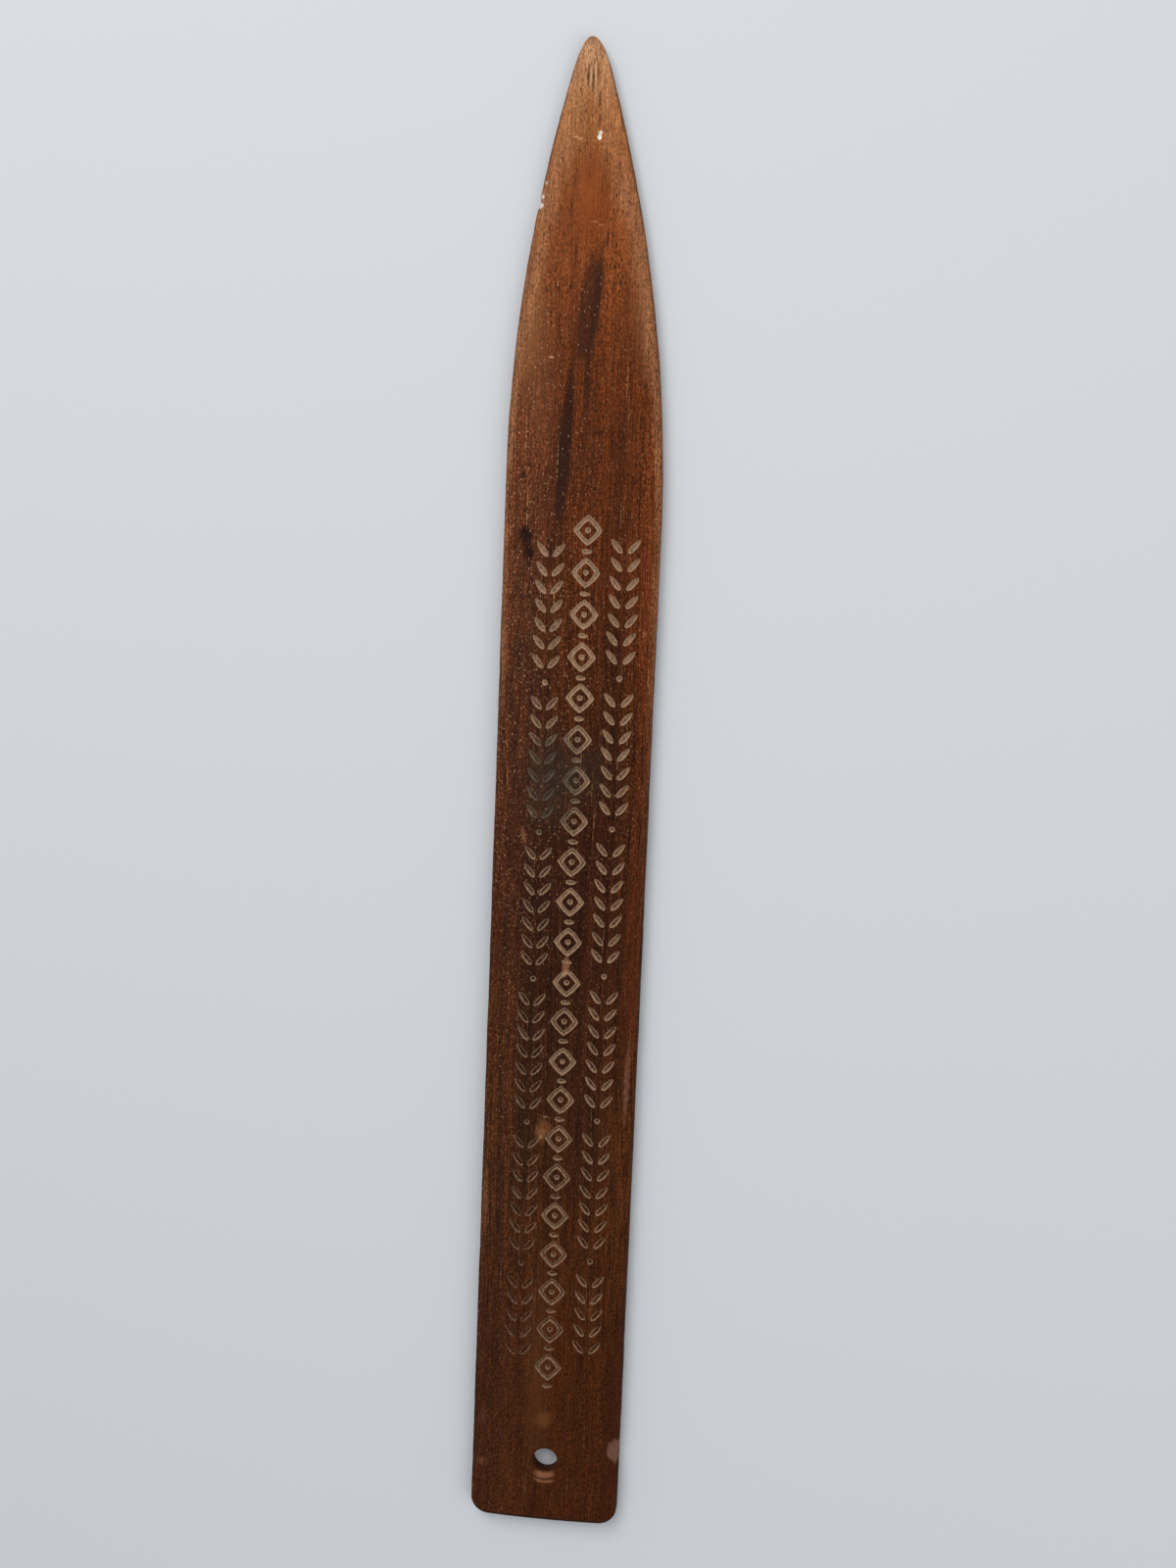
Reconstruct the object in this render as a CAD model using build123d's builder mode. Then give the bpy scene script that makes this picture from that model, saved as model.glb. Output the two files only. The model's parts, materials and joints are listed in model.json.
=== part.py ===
from build123d import *
import os
from math import sqrt

# A one-piece letter opener, cut from a thin hardwood lath.
# It lies on its back: X across, Y from the butt to the tip, Z up through the thickness.
# The origin is under the middle of the lath, on the surface that it lies on.

# Lath
length = 215.0
width = 22.2
thickness = 3.0
edge_radius = 0.9

# Butt end, slightly bowed, with its hanging hole
butt_bow = 0.3
corner_radius = 2.7
hole_diameter = 3.8
hole_from_butt = 9.7
hole_rim_chamfer = 0.3

# Blade outline: two long bowed flanks that run smoothly into a short nose, left of the middle
flank_radius = 200.0
nose_length = 4.7
tip_offset = -1.3

# Blade section: it thins towards the tip, and its edges are rounded off over a widening band
tip_thickness = 1.3
tip_rounding = 1.6
blade_edge = 0.6
bevel_width = 4.2
bevel_share_limit = 0.9

# Where the blade's sections lie: even spans, then shares of the nose's width
blade_spans = 6
nose_shares = [1.0, 0.85, 0.7, 0.5, 0.3]

half_width = width / 2
mid_z = thickness / 2
lath_edge = thickness - 2 * edge_radius
butt_y = -length / 2
tip_y = length / 2
nose_y = tip_y - nose_length


def nose_slope(side):
    """How steeply the flank runs in where it meets the nose, on the right (side 1) or the left (side -1).

    Flank and nose are parabolas, one along the side and one along Y, with the same slope where they meet.
    """
    flank_drop = half_width - side * tip_offset
    return (sqrt(4 * nose_length**2 + 2 * flank_radius * flank_drop) - 2 * nose_length) / flank_radius


def shoulder_y(side):
    """Where the flank leaves the straight side of the lath."""
    return nose_y - flank_radius * nose_slope(side)


blade_y = min(shoulder_y(1), shoulder_y(-1))
blade_length = tip_y - blade_y


def side_reach(y, side):
    """Distance from the centre line to the outline."""
    if y <= shoulder_y(side):
        return half_width
    if y <= nose_y:
        return half_width - (y - shoulder_y(side)) ** 2 / (2 * flank_radius)
    return side * tip_offset + 2 * nose_slope(side) * sqrt(nose_length * (tip_y - y))


def blade_section(y):
    """One cross-section of the blade: flat in the middle, with a quarter ellipse at each corner."""
    share = (y - blade_y) / blade_length
    ease = share**2 * (3 - 2 * share)
    into_tip = max(0.0, 1 - (tip_y - y) / tip_rounding)
    closing = sqrt(1 - into_tip**2)
    right = side_reach(y, 1)
    left = -side_reach(y, -1)
    full = closing * (thickness - (thickness - tip_thickness) * share**2)
    edge = closing * (lath_edge - (lath_edge - blade_edge) * ease)
    drop = (full - edge) / 2
    bevel = edge_radius + (bevel_width - edge_radius) * ease
    bevel = min(bevel, bevel_share_limit * (right - left) / 2)
    face_right = right - bevel
    face_left = left + bevel
    with BuildSketch(Plane.XZ.offset(-y)) as section:
        with BuildLine():
            Line((face_left, mid_z + full / 2), (face_right, mid_z + full / 2))
            EllipticalCenterArc((face_right, mid_z + edge / 2), bevel, drop, 0, arc_size=90)
            Line((right, mid_z + edge / 2), (right, mid_z - edge / 2))
            EllipticalCenterArc((face_right, mid_z - edge / 2), bevel, drop, 270, arc_size=90)
            Line((face_right, mid_z - full / 2), (face_left, mid_z - full / 2))
            EllipticalCenterArc((face_left, mid_z - edge / 2), bevel, drop, 180, arc_size=90)
            Line((left, mid_z - edge / 2), (left, mid_z + edge / 2))
            EllipticalCenterArc((face_left, mid_z + edge / 2), bevel, drop, 90, arc_size=90)
        make_face()
    return section.sketch


with BuildPart() as wooden_blade:
    # Lath, with a bowed butt, rounded corners there and eased edges
    with BuildSketch() as lath_plan:
        with BuildLine():
            side_end_y = butt_y + butt_bow
            butt = ThreePointArc((-half_width, side_end_y), (0, butt_y), (half_width, side_end_y))
            Polyline(butt @ 1, (half_width, blade_y), (-half_width, blade_y), butt @ 0)
        make_face()
        fillet(lath_plan.vertices().group_by(Axis.Y)[0], corner_radius)
    extrude(amount=thickness)
    back_and_front = wooden_blade.faces().filter_by(Axis.Z)
    blade_end = wooden_blade.edges().group_by(Axis.Y)[-1]
    fillet(back_and_front.edges() - blade_end, edge_radius)

    # Blade, then its nose
    span = (nose_y - blade_y) / blade_spans
    loft(sections=[blade_section(blade_y + span * i) for i in range(blade_spans + 1)])
    tip_point = Vertex(tip_offset, tip_y, mid_z)
    nose_sections = [blade_section(tip_y - nose_length * share**2) for share in nose_shares]
    loft(sections=nose_sections + [tip_point])

    # Hanging hole, right through, with both rims broken
    with Locations((0, butt_y + hole_from_butt, thickness)):
        Hole(hole_diameter / 2)
    chamfer(wooden_blade.edges(Select.LAST).filter_by(GeomType.CIRCLE), hole_rim_chamfer)

wooden_blade.part.label = "wooden_blade"

os.makedirs("parts", exist_ok=True)
export_step(wooden_blade.part, "parts/wooden_blade.step")
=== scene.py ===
import json
import math
import random

import bpy
import numpy as np
from mathutils import Euler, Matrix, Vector, noise

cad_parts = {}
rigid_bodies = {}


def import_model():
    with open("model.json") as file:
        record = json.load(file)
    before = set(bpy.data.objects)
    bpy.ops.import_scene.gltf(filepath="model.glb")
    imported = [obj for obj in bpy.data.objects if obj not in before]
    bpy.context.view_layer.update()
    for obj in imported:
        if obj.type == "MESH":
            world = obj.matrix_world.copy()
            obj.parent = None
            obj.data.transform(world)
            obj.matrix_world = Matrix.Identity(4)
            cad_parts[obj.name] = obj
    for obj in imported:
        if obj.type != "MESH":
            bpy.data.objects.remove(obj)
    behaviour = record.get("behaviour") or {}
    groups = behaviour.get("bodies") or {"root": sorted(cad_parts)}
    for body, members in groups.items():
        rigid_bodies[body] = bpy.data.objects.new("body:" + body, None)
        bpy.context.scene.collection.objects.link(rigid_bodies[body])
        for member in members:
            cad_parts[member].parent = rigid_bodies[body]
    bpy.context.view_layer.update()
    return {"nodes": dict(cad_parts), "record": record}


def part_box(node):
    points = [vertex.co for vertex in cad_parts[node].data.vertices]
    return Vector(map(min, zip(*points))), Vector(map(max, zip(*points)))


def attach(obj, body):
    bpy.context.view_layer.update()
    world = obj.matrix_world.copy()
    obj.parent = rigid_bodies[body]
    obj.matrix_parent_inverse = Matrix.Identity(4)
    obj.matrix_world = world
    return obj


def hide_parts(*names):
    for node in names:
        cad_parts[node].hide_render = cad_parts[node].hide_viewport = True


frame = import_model()
mm = 0.001  # settings below are in millimetres unless a note says otherwise
print("frame loaded, nodes:", sorted(frame["nodes"]))


# Camera, floor and light

photoCamera = {
    "place": (31.3, 46.5, 277.4),
    "turn": (-8.24, 6.36, 2.34),  # degrees
    "lens": 45,
    "nearest": 10,
}

studio = {
    "floorSize": 3000,
    "floorGrey": (214, 216, 219),
    "floorRoughness": 0.9,
    "skyGrey": (236, 240, 245),
    "skyStrength": 0.5,
    "lamps": [
        # name, place, aim, side, watts
        ("tipLamp", (-160, 420, 520), (0, 30, 0), 420, 2.6),
        ("fillLamp", (380, -160, 520), (0, -40, 0), 500, 0.9),
    ],
}


def paint(red, green, blue):
    # 0 to 255 screen values to Blender's linear colour
    shares = [level / 255 for level in (red, green, blue)]
    linear = [s / 12.92 if s <= 0.04045 else ((s + 0.055) / 1.055) ** 2.4 for s in shares]
    return (*linear, 1.0)


def addObject(name, content):
    holder = bpy.data.objects.new(name, content)
    bpy.context.scene.collection.objects.link(holder)
    return holder


def placeCamera():
    camera = bpy.data.cameras.new("photoCamera")
    camera.lens = photoCamera["lens"]
    camera.clip_start = photoCamera["nearest"] * mm
    holder = addObject("photoCamera", camera)
    holder.location = Vector(photoCamera["place"]) * mm
    holder.rotation_euler = Euler([math.radians(a) for a in photoCamera["turn"]])
    bpy.context.scene.camera = holder


def placeStudio():
    scene = bpy.context.scene
    scene.view_settings.view_transform = "Standard"
    half = studio["floorSize"] * mm / 2
    sheet = bpy.data.meshes.new("paleFloor")
    corners = [(-half, -half, 0), (half, -half, 0), (half, half, 0), (-half, half, 0)]
    sheet.from_pydata(corners, [], [(0, 1, 2, 3)])
    floor = addObject("paleFloor", sheet)
    card = bpy.data.materials.new("paleCard")
    card.use_nodes = True
    shader = card.node_tree.nodes["Principled BSDF"]
    shader.inputs["Base Color"].default_value = paint(*studio["floorGrey"])
    shader.inputs["Roughness"].default_value = studio["floorRoughness"]
    sheet.materials.append(card)

    world = bpy.data.worlds.new("softSky")
    world.use_nodes = True
    sky = world.node_tree.nodes["Background"]
    sky.inputs["Color"].default_value = paint(*studio["skyGrey"])
    sky.inputs["Strength"].default_value = studio["skyStrength"]
    scene.world = world
    for name, place, aim, side, watts in studio["lamps"]:
        lamp = bpy.data.lights.new(name, "AREA")
        lamp.size = side * mm
        lamp.energy = watts
        holder = addObject(name, lamp)
        holder.location = Vector(place) * mm
        look = Vector(aim) - Vector(place)
        holder.rotation_euler = look.to_track_quat("-Z", "Y").to_euler()


placeCamera()
placeStudio()
print("camera, floor and lamps placed")


# Small helpers for shader nodes

def feed(tree, socket, value):
    if isinstance(value, bpy.types.NodeSocket):
        tree.links.new(value, socket)
    elif value is not None:
        socket.default_value = value


def calc(tree, operation, first, second=None, third=None, clamp=False):
    step = tree.nodes.new("ShaderNodeMath")
    step.operation = operation
    step.use_clamp = clamp
    for socket, value in zip(step.inputs, (first, second, third)):
        feed(tree, socket, value)
    return step.outputs[0]


def times(tree, *values):
    product = values[0]
    for value in values[1:]:
        product = calc(tree, "MULTIPLY", product, value)
    return product


def calcVector(tree, operation, first, second=None):
    step = tree.nodes.new("ShaderNodeVectorMath")
    step.operation = operation
    feed(tree, step.inputs[0], first)
    feed(tree, step.inputs["Scale"] if operation == "SCALE" else step.inputs[1], second)
    return step.outputs["Value" if operation in ("LENGTH", "DOT_PRODUCT") else "Vector"]


def ease(tree, value, low, high, start=0.0, end=1.0):
    # smooth step from start to end as value goes from low to high
    step = tree.nodes.new("ShaderNodeMapRange")
    step.interpolation_type = "SMOOTHSTEP"
    names = ("Value", "From Min", "From Max", "To Min", "To Max")
    for name, given in zip(names, (value, low, high, start, end)):
        feed(tree, step.inputs[name], given)
    return step.outputs["Result"]


def split(tree, vector):
    apart = tree.nodes.new("ShaderNodeSeparateXYZ")
    tree.links.new(vector, apart.inputs[0])
    return apart.outputs


def join(tree, x, y, z):
    joined = tree.nodes.new("ShaderNodeCombineXYZ")
    for socket, value in zip(joined.inputs, (x, y, z)):
        feed(tree, socket, value)
    return joined.outputs["Vector"]


def grainNoise(tree, place, stretch, detail, rough):
    # noise drawn out along the grain: stretch is cells per mm
    texture = tree.nodes.new("ShaderNodeTexNoise")
    feed(tree, texture.inputs["Vector"], calcVector(tree, "MULTIPLY", place, stretch))
    feed(tree, texture.inputs["Scale"], 1.0)
    feed(tree, texture.inputs["Detail"], detail)
    feed(tree, texture.inputs["Roughness"], rough)
    return texture.outputs["Fac"]


def poreCells(tree, place, stretch, fewest, rim):
    # short dashes along the grain, kept only in some cells
    cells = tree.nodes.new("ShaderNodeTexVoronoi")
    feed(tree, cells.inputs["Vector"], calcVector(tree, "MULTIPLY", place, stretch))
    feed(tree, cells.inputs["Scale"], 1.0)
    pick = tree.nodes.new("ShaderNodeSeparateColor")
    tree.links.new(cells.outputs["Color"], pick.inputs[0])
    chosen = ease(tree, pick.outputs[0], fewest, fewest + 0.2)
    return times(tree, ease(tree, cells.outputs["Distance"], rim, rim * 0.4), chosen)


def blendColour(tree, share, first, second, blend="MIX"):
    # inputs 6 and 7 and output 2 are the node's colour sockets
    step = tree.nodes.new("ShaderNodeMix")
    step.data_type = "RGBA"
    step.blend_type = blend
    feed(tree, step.inputs[0], share)
    feed(tree, step.inputs[6], first)
    feed(tree, step.inputs[7], second)
    return step.outputs[2]


def scaleColour(tree, colour, level):
    grey = tree.nodes.new("ShaderNodeCombineColor")
    for socket in grey.inputs:
        feed(tree, socket, level)
    return blendColour(tree, 1.0, colour, grey.outputs[0], "MULTIPLY")


def startGroup(name, takes, gives):
    # takes and gives: socket name to socket type
    tree = bpy.data.node_groups.new(name, "ShaderNodeTree")
    for label, kind in takes.items():
        tree.interface.new_socket(label, in_out="INPUT", socket_type="NodeSocket" + kind)
    for label, kind in gives.items():
        tree.interface.new_socket(label, in_out="OUTPUT", socket_type="NodeSocket" + kind)
    given = tree.nodes.new("NodeGroupInput").outputs
    result = tree.nodes.new("NodeGroupOutput").inputs
    return tree, given, result


def useGroup(tree, group, **values):
    step = tree.nodes.new("ShaderNodeGroup")
    step.node_tree = group
    for label, value in values.items():
        feed(tree, step.inputs[label], value)
    return step.outputs


# Soft spot: one stain, streak or scuff, with a frayed rim

def makeSoftSpot():
    takes = {"Place": "Vector", "Ragged": "Float", "Middle": "Vector", "Reach": "Vector"}
    takes.update({"Lean": "Vector", "Fray": "Float", "Core": "Float"})
    tree, given, result = startGroup("softSpot", takes, {"Mask": "Float"})
    offset = calcVector(tree, "SUBTRACT", given["Place"], given["Middle"])
    leaning = calcVector(tree, "DOT_PRODUCT", offset, given["Lean"])
    sideways = calcVector(tree, "SCALE", (1.0, 0.0, 0.0), leaning)
    upright = calcVector(tree, "SUBTRACT", offset, sideways)
    span = calcVector(tree, "LENGTH", calcVector(tree, "DIVIDE", upright, given["Reach"]))
    span = calc(tree, "MULTIPLY_ADD", given["Ragged"], given["Fray"], span)
    tree.links.new(ease(tree, span, 1.0, given["Core"]), result["Mask"])
    return tree


def softMark(tree, softSpot, place, ragged, middle, reach, fray, core, lean=0.0):
    return useGroup(
        tree, softSpot, Place=place, Ragged=ragged,
        Middle=middle, Reach=reach, Lean=(0.0, lean, 0.0), Fray=fray, Core=core,
    )["Mask"]


# Frayed rims: noise around zero that breaks up the rims of soft spots

frayedRims = {
    "noise": ((2.8, 1.1, 2.8), 5, 0.7),  # cells per mm, detail, roughness
}


def makeFrayedRims():
    tree, given, result = startGroup("frayedRims", {"Place": "Vector"}, {"Ragged": "Float"})
    torn = grainNoise(tree, given["Place"], *frayedRims["noise"])
    tree.links.new(calc(tree, "SUBTRACT", torn, 0.5), result["Ragged"])
    return tree


# Hardwood figure: colour, pores and relief of the wood, in millimetres of the opener itself

hardwood = {
    # lengthColours: lighter towards the tip, partly the wood and its worn finish, partly painted light
    # falling on the tip end
    "lengthColours": [
        # share of the length from the butt, colour
        (0, (60, 26, 6)),
        (0.12, (59, 26, 6)),
        (0.28, (65, 32, 10)),
        (0.42, (57, 25, 8)),
        (0.6, (71, 32, 10)),
        (0.8, (94, 43, 14)),
        (0.87, (119, 61, 27)),
        (0.92, (123, 66, 31)),
        (0.96, (156, 100, 56)),
        (1, (192, 146, 108)),
    ],
    "leftDust": 0.065,  # share of grey dust on the left side
    "lengthWander": 0.05,
    "sideWander": 3.4,
    "noise": {
        # cells per mm across, along and up, detail, roughness
        "wander": ((0.05, 0.017, 0.05), 1, 0.5),
        "zones": ((0.22, 0.014, 0.3), 2, 0.5),
        "bands": ((1.3, 0.024, 1.5), 4, 0.6),
        "fibre": ((4.4, 0.14, 4.4), 4, 0.65),
        "specks": ((5.6, 2.3, 5.6), 2, 0.6),
        "dots": ((2.4, 1.7, 2.4), 2, 0.6),
    },
    "pores": {
        # cells per mm across, along and up, share left empty, rim
        "fineFlecks": ((4.2, 2.3, 4.2), 0.45, 0.42),
        "broadFlecks": ((2.3, 1.4, 2.3), 0.72, 0.34),
        "pits": ((3.2, 0.8, 3.2), 0.48, 0.38),
        "lines": ((2.2, 0.045, 2.2), 0.5, 0.19),
        "dark": ((3.2, 0.34, 3.2), 0.5, 0.3),
        "dusty": ((2.6, 1.5, 2.6), 0.64, 0.3),
    },
    "fades": {
        # along the opener: from, to, amount at each (0 and 1 if left out)
        "calm": (-95, -45, 0.2, 1),  # the butt is more even
        "stripes": (28, 60, 1.2, 0.45),
        "edges": (60, 40),
        "flecks": (86, 52, 0.25, 1),
        "pits": (45, 75, 0.8, 1.6),
        "tipGrain": (94, 66, 0.6, 1.2),  # the tip is worn smooth
        "buttGrain": (-90, 0, 0.85, 1),  # and so is the butt
        "tipFibre": (84, 26, 0.5, 1.2),  # long fibres show most on the lath
        "buttFibre": (-95, -60, 0.5, 1),
        "tipDust": (92, 62),
        "buttDust": (-40, 60, 0.3, 1),
        "litFlecks": (-105, 60, 0.12, 0.42),
        "darkLines": (60, 85),
        "dustyPores": (-70, 30, 0.15, 1),
        "dustyLines": (-30, 40, 0.25, 1),
        "cleanTip": (88, 70),
    },
    "pitShade": 0.5,
    "darkShare": 0.6,
    "dustyShare": 0.85,
    "relief": {"fibre": 0.4, "specks": 0.4, "dark": -0.8},
    "colours": {
        "rust": (118, 54, 20),
        "amber": (158, 84, 38),
        "sanded": (216, 172, 134),
        "smoke": (42, 23, 15),
        "burnt": (28, 13, 8),
        "film": (46, 42, 34),
        "chipped": (156, 102, 72),
        "poreDark": (34, 15, 7),
        "poreDust": (186, 134, 92),
        "dustGrey": (126, 102, 90),
        "tan": (112, 66, 36),
        # paler: chipped wood, and pale bands on the blade's edges that are partly worn finish, partly
        # painted sheen
        "paler": (150, 98, 60),
        # painted shade on the rounded tip end
        "endGrain": (96, 60, 38),
    },
    "marks": [
        # colour, strength, middle, half size, fray, core, lean if any
        ("rust", 0.55, (-0.4, 85.5, 2.5), (3.4, 9, 4), 0.5, 0.2),
        ("amber", 0.4, (-0.8, 87, 2.5), (2.8, 5.5, 4), 0.6, 0),
        ("rust", 0.08, (10.4, 25, 3), (2.4, 60, 3), 0.6, 0.2),
        ("tan", 0.6, (-0.4, -91.2, 3), (1.7, 1.9, 1.5), 0.6, 0.2),
        ("paler", 0.4, (-8.2, 68.5, 2.6), (2.6, 13, 3), 0.6, 0.1, 0.1),
        ("paler", 0.2, (-6.9, 62, 2.8), (3.4, 17, 3), 0.6, 0, 0.03),
        ("paler", 0.25, (7.2, 70, 2.6), (2.2, 12, 3), 0.6, 0.1, -0.1),
        ("tan", 0.3, (1.6, 98.5, 2.2), (1.5, 6, 3), 0.5, 0),
        ("rust", 0.2, (9.6, -20, 3), (2.4, 24, 3), 0.6, 0),
        ("burnt", 0.25, (-9.6, -20, 3), (2.4, 20, 3), 0.6, 0),
        ("burnt", 0.46, (0.6, -14, 3), (9.5, 48, 3), 0.5, 0, 0.008),
        ("burnt", 0.3, (-5.6, -11, 3), (6, 13, 3), 0.6, 0),
        ("burnt", 0.4, (5.4, -48, 3), (3.8, 20, 3), 0.6, 0),
        ("burnt", 0.35, (-5, -36, 3), (3.6, 36, 3), 0.6, 0),
        ("tan", 0.32, (-1.5, -83, 3), (3, 26, 3), 0.5, 0),
        ("smoke", 0.75, (-0.1, 71.5, 3), (2.1, 10.5, 2.6), 0.45, 0.5, 0.08),
        ("smoke", 0.6, (0.85, 73, 3), (0.7, 8, 2.6), 0.4, 0.5, 0.07),
        ("smoke", 0.65, (0, 61.5, 3), (0.8, 9, 2.6), 0.5, 0.2, 0.03),
        ("smoke", 0.35, (0.4, 52, 3), (3.2, 12, 2.6), 0.9, 0),
        ("smoke", 0.3, (5.3, 52, 3), (1.7, 15, 2.6), 0.6, 0),
        ("smoke", 0.4, (-3, 50, 3), (2, 15, 2.6), 0.8, 0, 0.04),
        ("smoke", 0.85, (-2.85, 52, 3), (1.15, 14, 2.6), 0.7, 0.55, 0.05),
        ("smoke", 0.45, (-7.6, 39, 3), (2.6, 5, 2), 0.9, 0),
        ("burnt", 0.9, (-7.85, 40.1, 3), (1.3, 1.7, 2), 1.6, 0.4),
        ("burnt", 0.85, (-7.3, 37.6, 3), (1, 2, 2), 1.6, 0.3),
        ("burnt", 0.6, (-7.9, 43.4, 3), (0.7, 1.1, 2), 1.6, 0.2),
        ("burnt", 0.7, (-8.35, 48.5, 3), (0.55, 0.8, 2), 1, 0.3),
        ("film", 0.5, (-3.4, 5, 3), (4.8, 11, 2.5), 0.9, 0.1),
        ("film", 0.4, (0.8, 7, 3), (8, 7.5, 2.5), 0.7, 0),
        ("chipped", 0.62, (0.2, -21.6, 2.9), (0.66, 1.9, 1), 1.1, 0.5, 0.05),
        ("sanded", 0.4, (0.05, -22.6, 2.9), (0.5, 0.7, 1), 1.8, 0),
        ("paler", 0.6, (-2.3, -46.4, 2.9), (1.6, 2.2, 1), 2.2, 0, 0.2),
        ("sanded", 0.45, (-2.5, -47.3, 2.9), (0.3, 0.5, 1), 1.6, 0),
        ("sanded", 0.3, (-1.9, -44.2, 2.9), (0.6, 0.22, 1), 0.8, 0.1),
        ("burnt", 0.6, (-3.6, -47.6, 3), (0.7, 0.8, 1), 0.8, 0.3),
        # painted shade on the rounded tip end
        ("endGrain", 0.6, (-1.3, 108, 1.5), (3.4, 2.3, 3), 0.4, 0.5),
        ("burnt", 0.85, (-1.6, 102.4, 2.2), (0.24, 2.2, 1), 0.4, 0.3, 0.02),
        ("burnt", 0.85, (-0.9, 101.7, 2.2), (0.24, 2.6, 1), 0.4, 0.3),
        ("burnt", 0.8, (-0.3, 102.8, 2.2), (0.22, 1.9, 1), 0.4, 0.3, -0.03),
        ("burnt", 0.8, (0.1, 99, 2.2), (0.24, 1.8, 1), 0.4, 0.3),
        ("burnt", 0.65, (-2.4, 100.2, 2.2), (0.17, 1.2, 1), 0.5, 0.2),
        ("sanded", 0.7, (-1.25, 102, 2.2), (0.18, 1.9, 1), 0.4, 0.3, 0.01),
        ("sanded", 0.8, (-0.6, 102.5, 2.2), (0.2, 2.1, 1), 0.4, 0.3, -0.02),
        ("sanded", 0.3, (-0.5, 99.6, 2.2), (0.3, 1.8, 1), 0.7, 0),
        ("rust", 0.45, (1.4, 96, 2.2), (0.7, 5, 1), 0.7, 0),
        ("rust", 0.35, (-2.6, 95, 2.2), (0.6, 4, 1), 0.7, 0, 0.05),
        ("burnt", 0.6, (2.3, 89, 2.2), (0.16, 2.2, 1), 0.6, 0.2, -0.02),
        ("burnt", 0.55, (1.9, 95, 2.2), (0.15, 1.6, 1), 0.6, 0.2),
        ("sanded", 0.4, (-1.5, 104.7, 2), (1.1, 0.9, 1), 0.6, 0),
        ("burnt", 0.55, (-1.9, 97.4, 2.2), (0.17, 1.6, 1), 0.5, 0.2),
        ("burnt", 0.7, (0.25, 96.6, 2.2), (0.55, 1.5, 1), 0.8, 0.1),
        ("burnt", 0.55, (1.3, 92, 2.2), (0.2, 1.6, 1), 0.5, 0.2),
        ("burnt", 0.6, (-3.2, 84.7, 2.5), (0.26, 1.9, 1), 0.8, 0.2, 0.05),
        ("burnt", 0.6, (-2.3, 78.7, 2.6), (0.24, 2.8, 1), 0.8, 0.2, 0.03),
        ("burnt", 0.6, (2, 80.5, 2.6), (0.26, 2.2, 1), 0.8, 0.2, 0.06),
        ("burnt", 0.75, (4, 75, 2.7), (0.34, 0.8, 1), 0.9, 0.2),
        ("chipped", 0.4, (-6.6, -2.6, 3), (0.5, 1.7, 1), 0.9, 0.2, -0.25),
        ("chipped", 0.5, (9.5, 27, 2.9), (0.5, 0.6, 1), 1, 0.2),
    ],
}


def lengthTint(tree, along, wander, halfLength):
    ramp = tree.nodes.new("ShaderNodeValToRGB")
    stops = ramp.color_ramp.elements
    while len(stops) < len(hardwood["lengthColours"]):
        stops.new(0.5)
    for stop, (share, colour) in zip(stops, hardwood["lengthColours"]):
        stop.position = share
        stop.color = paint(*colour)
    share = calc(tree, "MULTIPLY_ADD", along, 0.5 / halfLength, 0.5)
    feed(tree, ramp.inputs["Fac"], calc(tree, "MULTIPLY_ADD", wander, hardwood["lengthWander"], share))
    return ramp.outputs["Color"]


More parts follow.
